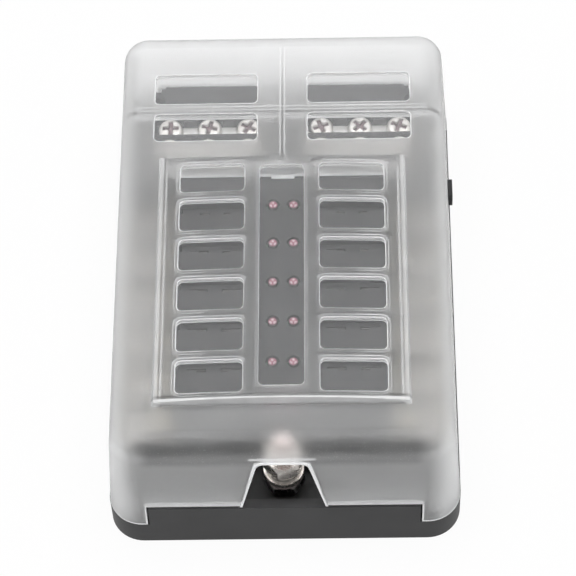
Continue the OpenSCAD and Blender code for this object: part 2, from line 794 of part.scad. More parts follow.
// Half section of the cover's wall from the corner's centre: x outward, y up
module cover_profile(inset) {
    r = cover_edge_r - inset;
    union() {
        polygon([[0, plinth_h - (inset > 0 ? 5 : 0)],
                 [wall_r - inset + cover_draft * (inset > 0 ? 5 : 0), plinth_h - (inset > 0 ? 5 : 0)],
                 [edge_x - inset, edge_z], [edge_x - inset - r, edge_z + r], [0, edge_z + r]]);
        intersection() {
            translate([edge_x - cover_edge_r, edge_z]) circle(r);
            translate([0, edge_z]) square([2 * cover_edge_r, 2 * cover_edge_r]);
        }
    }
}

module cover_form(inset) {
    for (sx = [-1, 1], sy = [-1, 1])
        translate([sx * corner_x, sy * corner_y, 0]) rotate_extrude() cover_profile(inset);
    rotate([90, 0, 90]) translate([0, 0, -corner_x]) linear_extrude(2 * corner_x)
        double_profile(corner_y, inset);
    rotate([90, 0, 0]) translate([0, 0, -corner_y]) linear_extrude(2 * corner_y)
        double_profile(corner_x, inset);
}

module double_profile(c, inset) {
    z0 = plinth_h - (inset > 0 ? 5 : 0);
    union() {
        translate([c, 0]) cover_profile(inset);
        mirror([1, 0]) translate([c, 0]) cover_profile(inset);
        translate([-c, z0]) square([2 * c, deck_z - inset - z0]);
    }
}

// Crowned window field, sunk by d and narrowed by inset
module field_form(d, inset) {
    x = field_x - inset;
    intersection() {
        translate([0, field_y_far + 5, crown_z(field_z - d)]) rotate([90, 0, 0])
            cylinder(r = crown_r, h = field_y_far - field_y_front + 10, $fn = 200);
        translate([0, field_y_far - inset + field_slope, 0]) rotate([90, 0, 0])
            linear_extrude(field_y_far - field_y_front - 2 * inset + 2 * field_slope)
                polygon([[-x - field_slope, deck_z - 3 - d], [x + field_slope, deck_z - 3 - d],
                         [x + field_slope, deck_z - d], [x, field_z - d + 1], [-x, field_z - d + 1],
                         [-x - field_slope, deck_z - d]]);
        translate([-base_w / 2, 0, 0]) rotate([90, 0, 90]) linear_extrude(base_w)
            polygon([[field_y_front + inset - field_slope, deck_z - 3 - d],
                     [field_y_far - inset + field_slope, deck_z - 3 - d],
                     [field_y_far - inset + field_slope, deck_z - d],
                     [field_y_far - inset, field_z - d + 1], [field_y_front + inset, field_z - d + 1],
                     [field_y_front + inset - field_slope, deck_z - d]]);
    }
}

module window_prism(x0, x1, y0, y1) {
    translate([(x0 + x1) / 2, (y0 + y1) / 2, deck_z - 3])
        rounded_slab(x1 - x0, y1 - y0, window_r, 10);
}

module field_windows() {
    x0 = fuse_x - window_w / 2;
    for (i = [1:rows]) {
        far = lamp_y + row_y(i) + window_shift + window_l / 2 - (i == 1 ? first_window_cut : 0);
        near = i == 1 ? far - window_l_first : far - window_l;
        both_sides() window_prism(x0, x0 + window_w, near, far);
    }
    window_prism(-strip_x, strip_x, strip_y_near, strip_y_far);
}
first_window_cut = 0.9;

module deck_windows() {
    both_sides() {
        window_prism(big_x_in, big_x_out, big_y_near, big_y_mid);
        window_prism(big_x_in, big_x_out, big_y_mid_far, big_y_far);
    }
}

module notch_outline(grow) {
    x0 = notch_foot + grow;
    x1 = notch_top + grow;
    r = notch_r + grow;
    z = notch_z + grow;
    union() {
        polygon([[-x0 - 1.2, rim_h - 5], [x0 + 1.2, rim_h - 5], [x0, rim_h], [x1 + 0.35, z - r],
                 [x1 - r, z], [-x1 + r, z], [-x1 - 0.35, z - r], [-x0, rim_h]]);
        for (s = [-1, 1]) translate([s * (x1 - r + 0.25), z - r]) circle(r);
    }
}

module cover() {
    color([0.82, 0.83, 0.84, 0.55])
    difference() {
        union() {
            difference() {
                union() {
                    cover_form(0);
                    field_form(0, 0);
                    notch_rim();
                }
                cover_form(cover_t);
                field_form(cover_t, cover_t);
            }
            cover_ribs();
        }
        // Sides and ends lifted between the corner feet
        box(-foot_x, foot_x, -base_l, base_l, 0, rim_h);
        box(-base_w, base_w, -foot_y, foot_y, 0, rim_h);
        // Windows
        difference() {
            field_windows();
            translate([0, base_l / 2, crown_z(field_z - window_depth)]) rotate([90, 0, 0])
                cylinder(r = crown_r, h = base_l, $fn = 200);
        }
        intersection() {
            deck_windows();
            box(-base_w, base_w, 0, base_l, deck_z - window_depth, deck_z + 5);
        }
        // Cable notch in the front wall
        translate([0, -base_l / 2 + 12, 0]) rotate([90, 0, 0]) linear_extrude(20) notch_outline(0);
        // Slots for the snap lugs
        both_sides() box(inner_x - 2, base_w, lug_y - lug_l / 2 - lug_clear, lug_y + lug_l / 2 + lug_clear,
                         0, lug_top + lug_clear);
    }
}

module notch_rim() {
    intersection() {
        translate([0, -base_l / 2 + 8, 0]) rotate([90, 0, 0]) linear_extrude(10) notch_outline(notch_lip);
        translate([0, -notch_lip_proud, 0]) cover_form(0);
        box(-base_w, base_w, -base_l, 0, rim_h, notch_z + notch_lip);
    }
}

partition_pad_x = 3.4;

module cover_ribs() {
    // Partition between the screws and the fuses, thicker in the middle
    intersection() {
        union() {
            box(-field_x, field_x, partition_y, partition_y + rib_t, partition_z, deck_z);
            box(-partition_pad_x, partition_pad_x, partition_y - partition_pad, partition_y + rib_t,
                partition_z, deck_z);
        }
        cover_form(cover_t - eps);
    }
    intersection() {
        union() {
            box(-rib_t / 2, rib_t / 2, partition_y, base_l / 2, deck_z - cover_t - rib_depth, deck_z - 1);
            box(-base_w / 2, base_w / 2, cross_rib_y - rib_t / 2, cross_rib_y + rib_t / 2,
                deck_z - cover_t - rib_depth, deck_z - 1);
        }
        cover_form(cover_t / 2);
    }
}

base_housing();
bottom_plate();
plate_screws();
supply_bus();
supply_stud();
stud_lower_nut();
stud_lower_washer();
stud_flat_washer();
stud_spring_washer();
stud_upper_nut();
for (i = [1:rows]) {
    output_terminal_at(i, -1);
    output_terminal_at(i, 1);
    lamp(i, -1);
    lamp(i, 1);
}
output_screws(-1);  // output_screws_left
output_screws(1);  // output_screws_right
negative_bus();
negative_screws(neg_y_low, neg_z_low, 20);  // negative_screws_lower
negative_screws(neg_y_high, neg_z_high, 55);  // negative_screws_upper
lamp_board();
cover();
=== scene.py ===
"""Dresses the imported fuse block: frosted cover, clear panes, black moulding, plated hardware."""
import json
import math

import bpy
from mathutils import Matrix, Vector


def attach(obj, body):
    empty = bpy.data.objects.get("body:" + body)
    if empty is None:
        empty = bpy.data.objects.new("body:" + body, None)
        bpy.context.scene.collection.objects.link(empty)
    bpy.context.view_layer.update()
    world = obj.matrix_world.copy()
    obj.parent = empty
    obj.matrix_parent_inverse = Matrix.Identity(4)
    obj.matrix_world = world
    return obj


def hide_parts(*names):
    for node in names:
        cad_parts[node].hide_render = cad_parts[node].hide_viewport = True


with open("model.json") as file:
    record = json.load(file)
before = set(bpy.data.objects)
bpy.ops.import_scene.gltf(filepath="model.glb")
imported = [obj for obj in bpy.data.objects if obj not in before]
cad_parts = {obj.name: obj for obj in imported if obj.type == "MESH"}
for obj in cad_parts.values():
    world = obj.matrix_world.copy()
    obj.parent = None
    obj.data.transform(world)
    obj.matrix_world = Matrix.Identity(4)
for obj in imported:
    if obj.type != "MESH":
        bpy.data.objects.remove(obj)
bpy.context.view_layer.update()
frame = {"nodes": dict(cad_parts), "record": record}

MM = 0.001
PHOTO_PX = 576

# Sizes in millimetres, as in part.scad: rows of fuses, lamps and panes
BASE_L = 150.0
ROWS, PITCH = 6, 13.5
LAMP_X, LAMP_Y = 3.0, 17.7
FUSE_X, POCKET_Y = 20.1, 18.7
WINDOW_W, WINDOW_L, WINDOW_SHIFT = 18.7, 10.4, -0.15
FIRST_L, FIRST_CUT = 9.6, 0.9
STRIP_X, STRIP_NEAR, STRIP_FAR = 6.4, -53.2, 21.2
WIRE_PANES_Y = ((31.9, 41.7), (45.4, 56.2))
WIRE_PANE_X, WIRE_PANE_HALF = 22.55, 15.15

# Edges of the cover that its frosting and its painted highlights follow
WALL_FOOT_Z, WALL_LEAN = 9.5, 0.067         # the front wall leans in by this much for each mm above
FOOT_X, FOOT_Y = 38.7, 61.9                 # the feet wrap the corners beyond these
WALL_EDGE_Z = 18.6                          # lower edge of the walls between the feet
NOTCH_HALF, NOTCH_SLANT = 11.7, 0.2         # half width at that edge, and how fast it narrows
FIELD_X, FIELD_NEAR, FIELD_FAR = 35.6, -59.0, 25.4
RIB_Y = 43.6                                # cross rib between the wire panes

# Hardware
OUTPUT_X, LANDING_Z = 40.4, 16.0
NEG_X, NEG_PITCH = 11.1, 11.9
NEG_Y_LOW, NEG_Z_LOW = 55.8, 17.7
NEG_Y_HIGH, NEG_Z_HIGH = 45.9, 20.9
HEAD_R, HEAD_H, HEAD_FLAT_R = 3.75, 3.1, 2.4
SHANK_R, SHANK_L, SHANK_PITCH = 2.0, 6.0, 0.7
RECESS_HALF, RECESS_REACH, RECESS_DEPTH = 0.66, 2.45, 1.7
RECESS_CORE, RECESS_SOFT = 1.1, 0.22
STUD_Y, STUD_TOP, STUD_R, STUD_TIP_R = -64.4, 39.0, 3.0, 2.2
STUD_CHAMFER = 0.72
STUD_HEX_R, STUD_HEX_H, STUD_HEX_TOP = 5.77, 4.0, 9.8
THREAD_FROM, THREAD_PITCH = 29.82, 1.0
THREAD_ROOT_R, THREAD_MEAN_R = 2.52, 2.675


# Shader helpers

class Val:
    """A number or a socket inside one node tree, with arithmetic that builds Math nodes."""

    def __init__(self, mat, value):
        self.mat = mat
        self.value = value

    def _op(self, operation, *others):
        node = self.mat.node("ShaderNodeMath", {"operation": operation})
        for i, item in enumerate((self,) + others):
            self.mat.put(node.inputs[i], item)
        return Val(self.mat, node.outputs[0])

    def __add__(self, other):
        return self._op("ADD", other)

    def __radd__(self, other):
        return Val(self.mat, other)._op("ADD", self)

    def __sub__(self, other):
        return self._op("SUBTRACT", other)

    def __rsub__(self, other):
        return Val(self.mat, other)._op("SUBTRACT", self)

    def __mul__(self, other):
        return self._op("MULTIPLY", other)

    def __rmul__(self, other):
        return Val(self.mat, other)._op("MULTIPLY", self)

    def __truediv__(self, other):
        return self._op("DIVIDE", other)

    def __neg__(self):
        return self._op("MULTIPLY", -1.0)

    def abs(self):
        return self._op("ABSOLUTE")

    def max(self, other):
        return self._op("MAXIMUM", other)

    def min(self, other):
        return self._op("MINIMUM", other)

    def sqrt(self):
        return self._op("SQRT")

    def fract(self):
        return self._op("FRACT")

    def clamp(self):
        return Val(self.mat, self.mat.node("ShaderNodeClamp", {}, {"Value": self}).outputs[0])

    def above(self, low, high):
        """0 below low, 1 above high, smooth between."""
        node = self.mat.node("ShaderNodeMapRange", {"interpolation_type": "SMOOTHSTEP"},
                             {"Value": self, "From Min": low, "From Max": high})
        return Val(self.mat, node.outputs["Result"])

    def below(self, low, high):
        """1 below low, 0 above high, smooth between."""
        return 1.0 - self.above(low, high)

    def within(self, low, high, soft=0.15):
        """1 between low and high, with soft edges."""
        return self.above(low - soft, low + soft) * self.below(high - soft, high + soft)


class Mat:
    """One procedural material on Object coordinates, in millimetres."""

    def __init__(self, name):
        self.m = bpy.data.materials.new(name)
        self.m.use_nodes = True
        self.tree = self.m.node_tree
        self.tree.nodes.clear()
        self.out = self.node("ShaderNodeOutputMaterial")
        coords = self.node("ShaderNodeTexCoord").outputs["Object"]
        self.point = self.node("ShaderNodeVectorMath", {"operation": "SCALE"},
                               {"Vector": coords, "Scale": 1 / MM}).outputs["Vector"]
        xyz = self.node("ShaderNodeSeparateXYZ", {}, {"Vector": self.point})
        self.x, self.y, self.z = (Val(self, xyz.outputs[i]) for i in range(3))

    def put(self, socket, item):
        item = item.value if isinstance(item, Val) else item
        if isinstance(item, bpy.types.NodeSocket):
            self.tree.links.new(item, socket)
        else:
            socket.default_value = item

    def node(self, kind, settings=None, inputs=None):
        made = self.tree.nodes.new(kind)
        for key, value in (settings or {}).items():
            setattr(made, key, value)
        for key, value in (inputs or {}).items():
            self.put(made.inputs[key], value)
        return made

    def noise(self, scale, detail=3.0, rough=0.5):
        """Noise from 0 to 1, with about scale features in each millimetre."""
        made = self.node("ShaderNodeTexNoise", {}, {"Vector": self.point, "Scale": scale,
                                                    "Detail": detail, "Roughness": rough})
        return Val(self, made.outputs["Fac"])

    def colour(self, factor, low, high):
        """A colour from low to high by factor, each of them a tuple or a socket."""
        low, high = ((*end, 1) if isinstance(end, tuple) else end for end in (low, high))
        return self.node("ShaderNodeMix", {"data_type": "RGBA"},
                         {0: factor, 6: low, 7: high}).outputs[2]

    def bump(self, height, strength, distance=0.1 * MM):
        return self.node("ShaderNodeBump", {}, {"Height": height, "Strength": strength,
                                                "Distance": distance}).outputs["Normal"]

    def blend(self, a, b, factor):
        """Shader a where factor is 0, b where it is 1."""
        made = self.node("ShaderNodeMixShader", {}, {0: factor})
        self.tree.links.new(a.outputs[0], made.inputs[1])
        self.tree.links.new(b.outputs[0], made.inputs[2])
        return made

    def surface(self, shader):
        self.tree.links.new(shader.outputs[0], self.out.inputs["Surface"])
        return self.m

    def principled(self, **inputs):
        """A Principled shader; Base_Color stands for the socket Base Color, and so on."""
        named = {key.replace("_", " "): value for key, value in inputs.items()}
        return self.node("ShaderNodeBsdfPrincipled", {}, named)


def rounded(across, along, half_x, half_y, radius=1.6):
    """Signed distance to a rounded rectangle, negative inside."""
    dx = across.abs() - (half_x - radius)
    dy = along.abs() - (half_y - radius)
    outside = (dx.max(0.0) * dx.max(0.0) + dy.max(0.0) * dy.max(0.0)).sqrt()
    return outside + dx.max(dy).min(0.0) - radius


# Materials

def black_plastic():
    """Fine-grained moulding, dusty in places, with painted shade darkening the bay around the stud.
    """
    m = Mat("black_moulding")
    grain = m.noise(5.0, 4.0, 0.65)
    broad = m.noise(0.06).above(0.3, 0.7)
    dust = m.noise(0.9, 5.0, 0.7).above(0.62, 0.8)
    bay = (m.x.abs().below(13.0, 16.0) * m.y.below(-56.0, -50.0) * m.y.above(-74.6, -71.0)
           * m.z.below(17.0, 19.0))
    colour = m.colour(broad * 0.6 + dust * 0.4, (0.016, 0.016, 0.017), (0.03, 0.03, 0.031))
    # Painted shade: the bay around the stud is coloured near black.
    colour = m.colour(bay, colour, (0.004, 0.004, 0.004))
    return m.surface(m.principled(Base_Color=colour, Roughness=0.46 + grain * 0.14 + dust * 0.1,
                                  IOR=1.41, Normal=m.bump(grain, 0.25)))


def window_distance(m):
    """Signed distances in plan to the nearest fuse or wire pane, and to the lamp strip's pane."""
    ax = m.x.abs()
    far_first = LAMP_Y + WINDOW_SHIFT + WINDOW_L / 2
    nearest = rounded(ax - FUSE_X, m.y - (far_first - FIRST_CUT - FIRST_L / 2),
                      WINDOW_W / 2, FIRST_L / 2)
    for i in range(1, ROWS):
        nearest = nearest.min(rounded(ax - FUSE_X, m.y - (far_first - i * PITCH - WINDOW_L / 2),
                                      WINDOW_W / 2, WINDOW_L / 2))
    for low, high in WIRE_PANES_Y:
        nearest = nearest.min(rounded(ax - WIRE_PANE_X, m.y - (low + high) / 2,
                                      WIRE_PANE_HALF, (high - low) / 2))
    strip = rounded(m.x, m.y - (STRIP_NEAR + STRIP_FAR) / 2,
                    STRIP_X, (STRIP_FAR - STRIP_NEAR) / 2)
    return nearest, strip


def pane_highlights(m, pane_d, strip_d):
    """Painted highlights on the rim of each pane and as a faint line around it, strongest at far
    and outer edges.
    """
    fold = ((m.y - (LAMP_Y + WINDOW_SHIFT)) / PITCH + 0.5).fract() * PITCH - PITCH / 2
    in_rows = m.y.below(24.0, 26.0)
    far_edge = fold.above(WINDOW_L / 2 - 0.9, WINDOW_L / 2 - 0.1) * in_rows
    near_edge = (-fold).above(WINDOW_L / 2 - 0.6, WINDOW_L / 2) * in_rows
    outer_half = m.x.abs().above(FUSE_X, FUSE_X + 4.0) * in_rows
    highlight_level = (0.5 + far_edge * 0.5 + outer_half * 0.3 - near_edge * 0.25 + (1.0 - in_rows) * 0.3)
    rim = pane_d.within(-0.02, 0.17, 0.07) * highlight_level.clamp() + strip_d.within(-0.02, 0.15, 0.07) * 0.4
    line = (pane_d.within(0.85, 1.0, 0.1) * (far_edge * 0.6 + outer_half * 0.35 + 0.12)
            + strip_d.within(0.7, 0.82, 0.1) * 0.3)
    return rim.clamp(), line.clamp()


def edge_highlights(m):
    """Painted highlights along edges of the frosted plastic: feet, lower rims, the notch and the
    lip over it.
    """
    ax, ay = m.x.abs(), m.y.abs()
    in_foot = ax.above(FOOT_X, FOOT_X + 0.1) * ay.above(FOOT_Y, FOOT_Y + 0.1)
    rim = (1.0 - in_foot) * m.z.below(WALL_EDGE_Z + 0.5, WALL_EDGE_Z + 0.9)
    foot_low = in_foot * m.z.below(10.0, 10.4)
    foot_side = (m.z.below(WALL_EDGE_Z - 0.3, WALL_EDGE_Z)
                 * (ax.within(FOOT_X - 0.1, FOOT_X + 0.6) * ay.above(70.0, 70.2)
                    + ay.within(FOOT_Y - 0.1, FOOT_Y + 0.6) * ax.above(45.0, 45.2)).clamp())
    front_skin = (m.y + BASE_L / 2 - (m.z - WALL_FOOT_Z) * WALL_LEAN).below(1.0, 1.4)
    beyond_notch = ax - NOTCH_HALF + (m.z - WALL_EDGE_Z) * NOTCH_SLANT
    notch = front_skin * beyond_notch.within(-0.5, 0.5) * m.z.below(40.4, 40.8)
    notch_top = front_skin * m.z.within(39.4, 40.7) * ax.below(6.6, 7.8)
    lip = m.z.within(41.5, 42.4, 0.25) * ax.below(8.4, 10.0) * m.y.below(-71.7, -71.3)
    return rim.max(foot_low).max(foot_side).max(notch).max(notch_top).max(lip * 0.75)


def cover_plastic():
    """Frosted skin with clear panes let into it.

    The frosting is a rough refraction, haze, under white scatter. How much of that shows is
    milky, a sum of masks from 0 to 1, each with its own share; several masks are painted
    highlights, and the haze's colour carries painted shade.
    """
    m = Mat("frosted_cover")
    ax = m.x.abs()
    high = m.z.above(43.0, 43.2)
    deck = m.z.above(43.5, 45.5)
    middle = ax.below(36.0, 41.0)
    pane_d, strip_d = window_distance(m)
    clear = pane_d.min(strip_d).below(-0.12, 0.12) * high
    # Painted highlights on the pane rims and in the faint lines around them.
    pane_rim_highlight, pane_line_highlight = (line * high for line in pane_highlights(m, pane_d, strip_d))

    in_field_x = ax.below(FIELD_X, FIELD_X + 0.6)
    in_field_y = m.y.above(FIELD_NEAR, FIELD_NEAR + 0.6) * m.y.below(FIELD_FAR, FIELD_FAR + 0.6)
    in_field = in_field_x * in_field_y
    side_slopes = ax.within(FIELD_X - 1.3, FIELD_X + 0.2, 0.3) * in_field_y
    near_slope = m.y.within(FIELD_NEAR + 1.0, FIELD_NEAR + 2.3, 0.25) * in_field_x
    # Painted highlight along the field's side and near slopes.
    slope_highlight = (side_slopes * 0.7 + near_slope * 1.5).clamp() * m.z.above(46.6, 47.0)
    # Painted shade at the foot of the near slope: less milky, with darker haze.
    slope_foot_shade = (in_field * high * m.y.below(FIELD_NEAR + 2.7, FIELD_NEAR + 3.8)
                  * m.y.above(FIELD_NEAR + 2.1, FIELD_NEAR + 2.3))

    # Painted highlight lines along a rib edge and along the ribs.
    rib_edge_highlight = m.z.within(37.2, 38.1, 0.06) * m.y.within(23.6, 26.6) * ax.below(38.0, 40.0)
    rib_highlights = (ax.within(0.4, 0.8, 0.12) * m.y.within(27.0, 66.0, 0.6)
            + (m.y - RIB_Y).abs().within(0.45, 0.85, 0.12) * ax.below(42.0, 44.0)).clamp() * high
    front_roll = m.z.above(38.6, 43.5) * m.y.below(-68.5, -64.5) * middle
    under_roll_shade = m.z.within(39.4, 45.8, 1.6) * m.y.below(-70.0, -68.0) * middle
    over_roll_shade = m.y.within(-68.6, -66.0, 1.2) * deck * middle
    beside_stud = ax.above(3.0, 7.0)
    # Painted highlight on the front corners of the walls.
    corner_highlight = (1.0 - deck) * ax.above(40.0, 46.0) * m.y.below(-70.0, -62.0)
    wall_low = m.z.below(20.0, 30.0) * m.y.below(-71.0, -69.0)
    # Painted light: the far deck is made whiter.
    far = (m.y.above(26.0, 64.0) + m.y.above(60.0, 68.0) * 0.9) * deck
    far_wall = m.y.above(68.0, 71.0) * (1.0 - deck)

    speck = m.noise(2.3, 2.0, 0.6)
    glitter = speck.above(0.6, 0.72)
    cloud = m.noise(0.07, 4.0, 0.6)
    patchy = 0.2 + m.noise(0.35, 2.0) * 0.4
    shares = ((corner_highlight, 0.22), (wall_low, 0.05), (1.0 - deck, 0.03), (front_roll * glitter, 0.34),
              (cloud, 0.07), (glitter, 0.14), (slope_highlight * patchy, 0.95), (front_roll, -0.03),
              (in_field * high, -0.03), (slope_foot_shade, -0.08), (far, 0.09), (far_wall, -0.06),
              (rib_highlights, 0.26))
    milky = sum((mask * share for mask, share in shares), 0.02)
    # Painted highlights: edges, pane rims, pane lines and the rib edge turn whiter.
    for line in (edge_highlights(m) * 0.85, pane_rim_highlight * 0.95, pane_line_highlight, rib_edge_highlight * 0.95):
        milky = milky.max(line)

    frost_bump = m.bump(speck, 0.5, 0.06 * MM)
    # Painted shade: the haze's colour is darkened in a band along the front roll beside the stud,
    # and at the foot of the near slope.
    dark = ((under_roll_shade * 0.42 + over_roll_shade * 0.2) * beside_stud * (1.3 - glitter * 0.9)
            + slope_foot_shade * 0.6)
    haze = m.principled(Base_Color=m.colour(dark, (0.99, 0.99, 0.99), (0.0, 0.0, 0.0)),
                        Roughness=0.36 + speck * 0.16, IOR=1.45, Transmission_Weight=1.0,
                        Normal=frost_bump)
    white = m.principled(Base_Color=m.colour(cloud, (0.86, 0.865, 0.87), (0.93, 0.935, 0.94)),
                         Roughness=0.55, IOR=1.5, Normal=frost_bump)
    dust = m.noise(0.35, 5.0, 0.7)
    pane = m.principled(Base_Color=(0.99, 0.99, 0.99, 1), Roughness=0.03 + dust * 0.04, IOR=1.46,
                        Transmission_Weight=1.0)
    film = m.principled(Base_Color=(0.74, 0.75, 0.76, 1), Roughness=0.4 + dust * 0.2, IOR=1.5)
    # The panes grow paler towards the far end.
    paler_towards_far = m.y.above(26.0, 50.0) * 0.03 + m.y.above(6.0, 16.0) * 0.03
    skin = m.blend(haze, white, milky.clamp())
    # The pane rim's painted highlight also whitens the glass at its edge.
    glass = m.blend(pane, film, (0.035 + dust * 0.03 + paler_towards_far).max(pane_rim_highlight * 0.6))
    return m.surface(m.blend(skin, glass, clear))


def metal(name, low, high, rough, wear=0.12):
    """Plain metal, spotted between two colours, with its roughness worn unevenly."""
    m = Mat(name)
    grain = m.noise(1.2, 4.0, 0.6)
    spots = m.noise(0.5, 3.0, 0.6).above(0.35, 0.7)
    return m.surface(m.principled(Base_Color=m.colour(spots, low, high), Metallic=1.0,
                                  Roughness=rough + grain * wear,
                                  Normal=m.bump(grain, 0.06, 0.05 * MM)))


def contact_metal():
    """Tinned brass, with painted shade darkening the tips of its forks."""
    m = Mat("tinned_brass")
    grain = m.noise(1.4, 4.0, 0.6)
    # Painted shade at the fork tips: darker, duller and less metallic.
    painted_tip_shade = m.z.above(19.0, 24.5)
    colour = m.colour(grain, (0.5, 0.44, 0.33), (0.66, 0.6, 0.48))
    return m.surface(m.principled(Base_Color=m.colour(painted_tip_shade, colour, (0.07, 0.062, 0.055)),
                                  Metallic=1.0 - painted_tip_shade * 0.6,
                                  Roughness=0.28 + grain * 0.12 + painted_tip_shade * 0.25,
                                  Normal=m.bump(grain, 0.06, 0.05 * MM)))


def plated_screw():
    """Nickel plating, with painted shade making the cross recess dark and dull."""
    m = Mat("nickel_plate")
    grain = m.noise(1.6, 4.0, 0.6)
    spots = m.noise(0.5, 3.0, 0.6).above(0.35, 0.7)
    sunk = Val(m, m.node("ShaderNodeAttribute", {"attribute_name": "sunk"}).outputs["Fac"])
    colour = m.colour(spots, (0.74, 0.71, 0.68), (0.88, 0.86, 0.83))
    # Painted shade darkens and dulls the cross recess.
    colour = m.colour(sunk.above(0.3, 0.9), colour, (0.16, 0.1, 0.11))
    return m.surface(m.principled(Base_Color=colour, Metallic=1.0 - sunk * 0.5,
                                  Roughness=0.27 + grain * 0.14 + sunk * 0.25,
                                  Normal=m.bump(grain, 0.05, 0.05 * MM)))


def lamp_plastic():
    """Dull red lens with a painted highlight at its centre, two painted highlights on its near side
    and a dark seat around it.
    """
    m = Mat("lamp_red")
    swirl = m.noise(1.6, 2.0)
    across = m.x.abs() - LAMP_X
    along = (((m.y - LAMP_Y) / PITCH + 0.5).fract() - 0.5) * PITCH
    radius = (across * across + along * along).sqrt()
    raised = along - 0.15
    # Painted highlights: a pale spot near the centre and two spots on the near side.
    core_highlight = (across * across + raised * raised).sqrt().below(0.12, 0.6)
    facet_highlights = (radius.within(0.62, 1.12, 0.12) * (-along).above(0.1, 0.35)
              * across.abs().above(0.16, 0.34))
    tint = m.colour(swirl, (0.22, 0.05, 0.09), (0.34, 0.1, 0.15))
    tint = m.colour((core_highlight * 0.6).max(facet_highlights * 0.55), tint, (0.7, 0.55, 0.58))
    tint = m.colour(radius.above(1.1, 1.4), tint, (0.05, 0.035, 0.04))
    return m.surface(m.principled(Base_Color=tint, Roughness=0.1 + swirl * 0.1, IOR=1.5,
                                  Coat_Weight=0.5))


def board_lacquer():
    """Green lacquer with paler tracks across the board."""
    m = Mat("board_green")
    tracks = (m.y * 0.8).fract().above(0.42, 0.5) * m.x.abs().above(3.6, 3.7)
    return m.surface(m.principled(Base_Color=m.colour(tracks, (0.02, 0.1, 0.05), (0.05, 0.2, 0.1)),
                                  Roughness=0.3 + m.noise(2.0) * 0.1, IOR=1.5))


MATS = {
    "black_moulding": black_plastic(),
    "frosted_cover": cover_plastic(),
    "nickel_plate": metal("nickel_plate", (0.6, 0.56, 0.53), (0.78, 0.75, 0.71), 0.22),
    "stud_steel": metal("stud_steel", (0.46, 0.39, 0.38), (0.6, 0.52, 0.5), 0.48),
    # Painted shade: a darker copy of the steel for the lower nut.
    "shaded_nut": metal("shaded_nut", (0.08, 0.075, 0.07), (0.2, 0.19, 0.18), 0.22),
    "screw_plate": plated_screw(),
    "plain_steel": metal("plain_steel", (0.42, 0.4, 0.38), (0.56, 0.54, 0.51), 0.26),
    "tinned_brass": contact_metal(),
    "bright_tin": metal("bright_tin", (0.86, 0.85, 0.83), (0.95, 0.94, 0.92), 0.5, wear=0.18),
    "lamp_red": lamp_plastic(),
    "board_green": board_lacquer(),
}
SLOTS = {part["node"]: part["material_slot"] for part in frame["record"]["subparts"]}
# Materials of their own for some nodes; the lower nut's material is painted shade.
OWN_FINISH_OR_SHADE = {"negative_bus": "bright_tin", "stud_lower_nut": "shaded_nut",
              "stud_lower_washer": "stud_steel"}
for node_name, obj in frame["nodes"].items():
    obj.data.materials.clear()
    obj.data.materials.append(MATS[OWN_FINISH_OR_SHADE.get(node_name, SLOTS[node_name])])


# Hardware with cut recesses and threads, in place of the plain solids

def closed_mesh(name, rings):
    """A closed skin over rings of points, each ring a list of (x, y, z) in millimetres."""
    verts = [(x * MM, y * MM, z * MM) for ring in rings for x, y, z in ring]
    n = len(rings[0])
    faces = [(k * n + j, k * n + (j + 1) % n, (k + 1) * n + (j + 1) % n, (k + 1) * n + j)
             for k in range(len(rings) - 1) for j in range(n)]
    for k, flip in ((0, True), (len(rings) - 1, False)):
        ring = range(k * n, k * n + n)
        centre = len(verts)
        verts.append(tuple(sum(verts[i][axis] for i in ring) / n for axis in range(3)))
        for j in range(n):
            a, b = k * n + j, k * n + (j + 1) % n
            faces.append((b, a, centre) if flip else (a, b, centre))
    mesh = bpy.data.meshes.new(name)
    mesh.from_pydata(verts, [], faces)
    mesh.shade_smooth()
    mesh.set_sharp_from_angle(angle=math.radians(38))
    return mesh


def ring_at(radius, z, spokes):
    """One ring; radius may be a function of the angle, and z one of radius and angle."""
    out = []
    for j in range(spokes):
        a = 2 * math.pi * j / spokes
        r = radius(a) if callable(radius) else radius
        out.append((r * math.cos(a), r * math.sin(a), z(r, a) if callable(z) else z))
    return out


def recess_at(x, y):
    """0 on the screw's face, 1 inside its cross recess."""
    x, y = abs(x), abs(y)
    arm = min(max(x - RECESS_HALF, y - RECESS_REACH), max(y - RECESS_HALF, x - RECESS_REACH),
              math.hypot(x, y) - RECESS_CORE)
    sunk = min(1.0, max(0.0, 0.5 - arm / RECESS_SOFT))
    return sunk * sunk * (3 - 2 * sunk)


def screw_top(r, a):
    """Height of the screw's flat-domed head over its plan, with a tapered cross recess."""
    past_flat = max(0.0, (r - HEAD_FLAT_R) / (HEAD_R - HEAD_FLAT_R))
    dome = HEAD_H * (1 - 0.06 * (r / HEAD_R) ** 2 - 0.3 * past_flat ** 3)
    taper = 1 - 0.6 * min(1.0, r / RECESS_REACH) ** 2
    return dome - recess_at(r * math.cos(a), r * math.sin(a)) * RECESS_DEPTH * taper


def screw_mesh():
    """A terminal screw, its head standing on z = 0; the attribute sunk marks the recess."""
    spokes, head_rings = 96, 36
    rings = [ring_at(0.35, -SHANK_L, spokes)]
    for k in range(int(SHANK_L / SHANK_PITCH)):
        z = -SHANK_L + (k + 0.2) * SHANK_PITCH
        rings += [ring_at(SHANK_R * 0.8, z, spokes),
                  ring_at(SHANK_R, z + SHANK_PITCH * 0.5, spokes)]
    rings += [ring_at(SHANK_R * 0.8, 0.0, spokes), ring_at(HEAD_R - 0.2, 0.0, spokes),
              ring_at(HEAD_R, 0.2, spokes), ring_at(HEAD_R, HEAD_H * 0.6, spokes)]
    rings += [ring_at(HEAD_R * k / head_rings, screw_top, spokes)
              for k in range(head_rings, 0, -1)]
    mesh = closed_mesh("screw_master", rings)
    sunk = mesh.attributes.new("sunk", "FLOAT", "POINT")
    for i, vert in enumerate(mesh.vertices):
        above = vert.co.z > 0.2 * HEAD_H * MM
        sunk.data[i].value = recess_at(vert.co.x / MM, vert.co.y / MM) if above else 0.0
    return mesh


